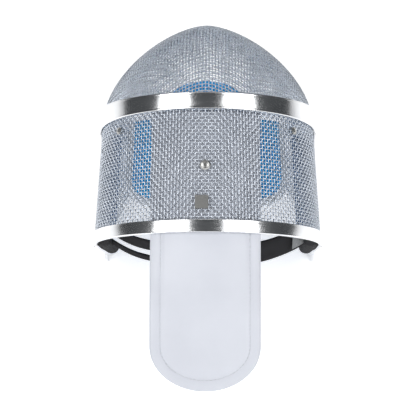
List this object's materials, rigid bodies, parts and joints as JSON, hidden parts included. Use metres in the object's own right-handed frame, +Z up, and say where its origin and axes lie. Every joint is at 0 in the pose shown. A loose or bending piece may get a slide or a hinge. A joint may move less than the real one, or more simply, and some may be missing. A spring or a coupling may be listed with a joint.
{
  "type": "fencing mask",
  "caption": "Fencing mask with a woven steel face and crown on polished bands, blue padding, a white rear tongue and a black elastic rear strap.",
  "frame": {"origin": "centre of the bounding box in plan, on the plane of the throat band's lower edge", "axes": "+Z up, +Y the way the face looks, +X the wearer's right"},
  "size_m": [0.2194, 0.3622, 0.2421],
  "materials": {
    "woven_steel": "satin",
    "polished_steel": "polished",
    "screw_steel": "satin",
    "white_vinyl": "satin",
    "blue_fabric": "matte",
    "grey_binding": "matte",
    "black_elastic": "matte",
    "grey_hook_tape": "matte"
  },
  "bodies": {
    "root": {"front_mesh": "woven_steel", "crown_mesh": "woven_steel", "joining_band": "polished_steel", "rim_band": "polished_steel", "throat_band": "polished_steel", "eyelet_left": "polished_steel", "eyelet_right": "polished_steel", "tongue_screw": "screw_steel", "tongue_nut": "screw_steel", "badge_plate": "screw_steel", "tongue": "white_vinyl", "crown_pad": "blue_fabric", "forehead_pad": "blue_fabric", "side_pad_left": "blue_fabric", "side_pad_right": "blue_fabric", "strap_right": "black_elastic", "strap_left_upper": "black_elastic", "strap_left_lower": "black_elastic", "hook_tab_right": "grey_hook_tape"}
  },
  "joints": []
}
